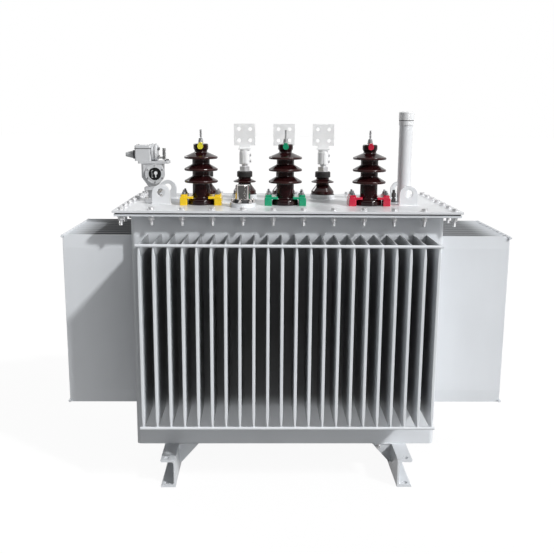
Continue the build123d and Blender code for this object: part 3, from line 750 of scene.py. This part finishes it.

# Printed ticks, and a pale rounded shape on a stem, in the sight glass
tick_pitch = 0.0042
long_tick = 0.0060
short_tick = 0.0036
print_edge = 0.0001
sight_scale = bmesh.new()
for step in range(7):
    level = (step - 3) * tick_pitch
    reach = long_tick if step % 3 == 0 else short_tick
    left = glass_face + Vector((-0.0125, -0.0004, level - 0.0005))
    slab(sight_scale, left, left + Vector((reach, 0.0006, 0.0010)), print_edge)
pale_shape_middle = glass_face + Vector((0.0030, 0.0001, 0.0028))
stem_low = glass_face + Vector((0.0014, -0.0004, -0.0120))
stem_high = glass_face + Vector((0.0046, 0.0002, -0.0030))
pile(sight_scale, pale_shape_middle, (0, -1, 0), domed_head(0.0062, 0.0006))
slab(sight_scale, stem_low, stem_high, print_edge)
add_piece("sight_scale", sight_scale, "filler_white")

# Screws of the terminal box's lid, its round end flange and the plate below it
lid_screw_inset = 0.008
plate_screw_inset = 0.010
end_screw_reach = 0.0205
plate_nut = (washer(0.006, 0.0012), hexagon_nut(0.005, 0.004))
end_nut = (washer(0.0055, 0.001), hexagon_nut(0.0048, 0.0038))
lid_low, lid_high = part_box("relay_lid")
plate_low, plate_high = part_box("relay_plate")
end_low, end_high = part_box("relay_end_flange")
end_axis = (end_low + end_high) / 2
box_screws = bmesh.new()
for x in (lid_low.x + lid_screw_inset, lid_high.x - lid_screw_inset):
    for y in (lid_low.y + lid_screw_inset, lid_high.y - lid_screw_inset):
        pile(box_screws, (x, y, lid_high.z), (0, 0, 1), domed_head(0.0032, 0.0020))
for y in (plate_low.y + plate_screw_inset, plate_high.y - plate_screw_inset):
    place = (plate_high.x - plate_screw_inset, y, plate_high.z)
    pile(box_screws, place, (0, 0, 1), *plate_nut)
for step in range(4):
    turn = radians(45 + 90 * step)
    across = end_axis.y + end_screw_reach * cos(turn)
    level = end_axis.z + end_screw_reach * sin(turn)
    pile(box_screws, (end_high.x, across, level), (1, 0, 0), *end_nut)
add_piece("relay_screws", box_screws, "small_steel")

# Joint under the lid of the terminal box
seal_half = 0.0011
seal_proud = Vector((0.0007, 0.0007, 0))
seal_low = Vector((lid_low.x, lid_low.y, lid_low.z - seal_half)) - seal_proud
seal_high = Vector((lid_high.x, lid_high.y, lid_low.z + seal_half)) + seal_proud
lid_seal = bmesh.new()
slab(lid_seal, seal_low, seal_high, 0.0005)
add_piece("relay_lid_seal", lid_seal, "seal")

# Rims of the round end flange and its cover, with the seal between them
rim_inner = 0.022
rim_outer = 0.031
rim_foot = (end_low.x, end_axis.y, end_axis.z + 0.003)
end_rim = bmesh.new()
band(end_rim, rim_foot, (1, 0, 0), rim_inner, rim_outer, 0.0, 0.0095)
band(end_rim, rim_foot, (1, 0, 0), rim_inner, rim_outer, 0.0125, 0.0190)
add_piece("relay_end_rim", end_rim, "relay_cast")
end_groove = bmesh.new()
band(end_groove, (end_low.x, end_axis.y, end_axis.z), (1, 0, 0), 0.026, 0.0284, 0.0098, 0.0122)
add_piece("end_flange_seal", end_groove, "seal")

# Weld beads on the cover, round the lugs, the low voltage flanges and the filler tube
lugs_low, lugs_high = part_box("lifting_lugs")
lug_width = 0.065
lug_thickness = 0.012
lug_bead = 0.0032
flange_bead = 0.0026
filler_bead = 0.0028
bead_sunk = 0.001
bead_stand = 0.0006
beads = bmesh.new()
for left in (lugs_low.x, lugs_high.x - lug_width):
    for front in (lugs_low.y, lugs_high.y - lug_thickness):
        right, rear = left + lug_width, front + lug_thickness
        for y in (front - bead_sunk, rear + bead_sunk):
            bead(beads, (left, y, cover_top), (right, y, cover_top), lug_bead)
        for x in (left - bead_sunk, right + bead_sunk):
            bead(beads, (x, front, cover_top), (x, rear, cover_top), lug_bead)
flange_reach = (lv_flange_high.y - lv_flange_low.y) / 2
for axis in lv_axes:
    ring_bead(beads, (axis.x, axis.y, cover_top), flange_reach + bead_stand, flange_bead)
filler_low, filler_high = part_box("filler_tube")
filler_axis = (filler_low + filler_high) / 2
filler_reach = (filler_high.x - filler_low.x) / 2
filler_foot = (filler_axis.x, filler_axis.y, cover_top)
ring_bead(beads, filler_foot, filler_reach + bead_stand, filler_bead)
add_piece("cover_welds", beads, "cover_paint")

# Joint under the cap of the filler tube
collar_low, collar_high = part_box("filler_collar")
collar_reach = (collar_high.x - collar_low.x) / 2
filler_joint = bmesh.new()
joint_foot = (filler_axis.x, filler_axis.y, collar_high.z)
joint_inner = collar_reach - 0.008
band(filler_joint, joint_foot, (0, 0, 1), joint_inner, collar_reach + 0.0006, -0.0028, 0.0002)
add_piece("filler_joint", filler_joint, "seal")

# Weld beads under the rim and along both edges of the gussets
side_low, side_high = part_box("wall_right")
corner_radius = 0.016
straight = tank_high.x - corner_radius
rim_bead = 0.003
rim_ripple = 0.007
beads = bmesh.new()
for y in (tank_low.y, -tank_low.y):
    bead(beads, (-straight, y, rim_under), (straight, y, rim_under), rim_bead, rim_ripple)
for x in (-tank_high.x, tank_high.x):
    bead(beads, (x, side_low.y, rim_under), (x, side_high.y, rim_under), rim_bead, rim_ripple)
gusset_low, gusset_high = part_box("channel_gussets")
gusset_thickness = 0.006
gusset_length = 0.068
gusset_bead = 0.0028
gusset_faces = (
    gusset_low.y,
    gusset_low.y + gusset_thickness,
    gusset_high.y - gusset_thickness,
    gusset_high.y,
)
channel_back = gusset_high.x
bead_level = tank_low.z - 0.0005
for side in (-1, 1):
    start = side * (channel_back - gusset_length)
    upright = side * (channel_back - bead_sunk)
    for face in gusset_faces:
        bead(beads, (start, face, bead_level), (side * channel_back, face, bead_level), gusset_bead)
        bead(beads, (upright, face, bead_level), (upright, face, gusset_low.z), gusset_bead)
add_piece("tank_welds", beads, "tank_paint")

# Tacks that hold the rods to the fin tips
fin_pitch = 0.045
front_fins = 22
side_fins = 10
rod_radius = 0.005
tack_radius = 0.0021
tack_half = 0.004
tip_depth = rod_radius + 0.0015
fin_side = 0.0035


def tack(mesh, x, y, level):
    """A short upright bead beside a fin, on the inner side of the rod."""
    bead(mesh, (x, y, level - tack_half), (x, y, level + tack_half), tack_radius, 0.004)


def fin_places(count):
    return [(step - (count - 1) / 2) * fin_pitch for step in range(count)]


tacks = bmesh.new()
for fin in fin_places(front_fins):
    for level in (fins_low.z + rod_radius, fins_high.z - rod_radius):
        for side in (-fin_side, fin_side):
            tack(tacks, fin + side, fins_low.y + tip_depth, level)
            tack(tacks, fin + side, -fins_low.y - tip_depth, level)
for fin in fin_places(side_fins):
    for level in (side_fins_low.z + rod_radius, side_fins_high.z - rod_radius):
        for side in (-fin_side, fin_side):
            tack(tacks, side_fins_high.x - tip_depth, fin + side, level)
            tack(tacks, -side_fins_high.x + tip_depth, fin + side, level)
add_piece("rod_tacks", tacks, "tank_paint")

# Earth bolt through the hole in the right front gusset
earth_across = 0.048
earth_down = 0.011
earth_layers = stud_end(0.0095, 0.002, 0.0065, 0.0065, 0.005)
earth_place = (channel_back - earth_across, gusset_low.y, tank_low.z - earth_down)
earth_bolt = bmesh.new()
pile(earth_bolt, earth_place, (0, -1, 0), *earth_layers)
add_piece("earth_bolt", earth_bolt, "stud_metal")

# Sheared and sawn edges are taken off by about a millimetre
edge_widths = {
    "lifting_lugs": 0.0012,
    "cover_plate": 0.0010,
    "rim_flange": 0.0010,
    "lv_palms": 0.0008,
    "lv_flanges": 0.0012,
    "tap_base": 0.0012,
    "relay_neck": 0.0010,
    "relay_plate": 0.0010,
    "channel_gussets": 0.0008,
    "relay_end_flange": 0.0010,
}
join_distance = 0.00002
for name, width in edge_widths.items():
    weld = nodes[name].modifiers.new("joined corners", "WELD")
    weld.merge_threshold = join_distance
    bevel = nodes[name].modifiers.new("eased edges", "BEVEL")
    bevel.width = width
    bevel.segments = 2
    bevel.limit_method = "ANGLE"
    bevel.angle_limit = radians(40)
    bevel.harden_normals = True


# Studio

# A plain floor that shows the object's shadow and otherwise reads as white
floor_mesh = bpy.data.meshes.new("floor")
floor_half = 40.0
quarters = ((-1, -1), (1, -1), (1, 1), (-1, 1))
corners = [(x * floor_half, y * floor_half, 0) for x, y in quarters]
floor_mesh.from_pydata(corners, [], [(0, 1, 2, 3)])
floor = bpy.data.objects.new("floor", floor_mesh)
bpy.context.scene.collection.objects.link(floor)

floor_finish = Finish("studio floor")
floor_finish.set(Base_Color=(0.40, 0.40, 0.40, 1.0), Roughness=0.9, Specular_IOR_Level=0.1)
seen = floor_finish.node("ShaderNodeLightPath", {}, {}, "Is Camera Ray")
mirrored = floor_finish.node("ShaderNodeLightPath", {}, {}, "Is Glossy Ray")
through = floor_finish.node("ShaderNodeLightPath", {}, {}, "Is Transmission Ray")
near = floor_finish.between(floor_finish.part_of_place("Y"), -2.6, -1.0)
glow_tone = seen + through + mirrored * (near * 0.5 + 0.06)
glow_values = {0: glow_tone, 1: glow_tone, 2: glow_tone}
glow_colour = floor_finish.node("ShaderNodeCombineXYZ", {}, glow_values)
glow_strength = 1.145
glow_inputs = {"Color": glow_colour, "Strength": glow_strength}
glow = floor_finish.node("ShaderNodeEmission", {}, glow_inputs)
plain = Wire(floor_finish, floor_finish.shader.outputs[0])
shown = seen * 0.82 + mirrored * 0.85 + through * 0.6
floor_look = floor_finish.node("ShaderNodeMixShader", {}, {0: shown, 1: plain, 2: glow})
floor_output = floor_finish.tree.nodes["Material Output"]
floor_finish.tree.links.new(floor_look.socket, floor_output.inputs["Surface"])
floor_mesh.materials.append(floor_finish.material)

# A key light from the right front and a soft fill from the left rear
key_towards = Vector((1.2, -1.0, 1.29))
fill_towards = Vector((-1.3, 1.3, 1.1))
key_strength = 0.80 * pi
fill_strength = 0.36 * pi
key_softness = 4.0
fill_softness = 25.0


def add_sun(name, towards, strength, softness):
    lamp = bpy.data.lights.new(name, "SUN")
    lamp.energy = strength
    lamp.angle = radians(softness)
    holder = bpy.data.objects.new(name, lamp)
    holder.rotation_mode = "QUATERNION"
    holder.rotation_quaternion = towards.to_track_quat("Z", "Y")
    bpy.context.scene.collection.objects.link(holder)


add_sun("key", key_towards, key_strength, key_softness)
add_sun("fill", fill_towards, fill_strength, fill_softness)

# The room: brighter from the right front, with a tall bright panel that metal and glaze mirror
world = bpy.data.worlds.new("studio")
bpy.context.scene.world = world
world.use_nodes = True


class Surround(Finish):
    """The world's shader, built as the materials are."""

    def __init__(self, tree):
        self.tree = tree


surround = Surround(world.node_tree)
backdrop = world.node_tree.nodes["Background"]
direction = surround.node("ShaderNodeTexCoord", {}, {}, "Generated")
seen = surround.node("ShaderNodeLightPath", {}, {}, "Is Camera Ray")
mirrored = surround.node("ShaderNodeLightPath", {}, {}, "Is Glossy Ray")
right = surround.node("ShaderNodeSeparateXYZ", {}, {0: direction}, "X")
behind = surround.node("ShaderNodeSeparateXYZ", {}, {0: direction}, "Y")
above = surround.node("ShaderNodeSeparateXYZ", {}, {0: direction}, "Z")
broad_light = surround.between(right, 0.0, 0.7) * surround.between(behind, 0.1, -0.5)
plain_tone = broad_light * 1.35 + surround.between(right, -0.7, 0.9) * 0.18 + 0.09
room = surround.between(behind + above * 0.5, -0.75, -0.15)
softbox = surround.between(right, 0.44, 0.49) * surround.between(right, 0.64, 0.59)
softbox = softbox * surround.between(behind, 0.0, -0.2)
mirror_tone = room * (surround.between(right, -0.9, 0.4) * 0.45 + 0.45) + softbox * 9.0 + 0.05
tone = mirrored * (mirror_tone - plain_tone) + plain_tone
strength = seen * (1.0 - tone) + tone
surround.feed(backdrop.inputs["Color"], (1.0, 1.0, 1.0, 1.0))
surround.feed(backdrop.inputs["Strength"], strength)

# The camera stands where the photograph was taken from
camera_place = Vector((-0.0854, -2.8850, 1.2570))
camera_pitch = radians(11.739)
camera_yaw = radians(1.083)
camera_roll = radians(0.432)
focal_length_px = 787.88
photo_width_px = 554.0
sensor_width = 36.0
lens = bpy.data.cameras.new("camera")
lens.sensor_width = sensor_width
lens.lens = focal_length_px * sensor_width / photo_width_px
lens.clip_end = 200.0
camera = bpy.data.objects.new("camera", lens)
bpy.context.scene.collection.objects.link(camera)
turn = Matrix.Rotation(-camera_yaw, 4, "Z") @ Matrix.Rotation(pi / 2 - camera_pitch, 4, "X")
camera.matrix_world = Matrix.Translation(camera_place) @ turn @ Matrix.Rotation(camera_roll, 4, "Z")
bpy.context.scene.camera = camera

bpy.context.scene.view_settings.view_transform = "Standard"
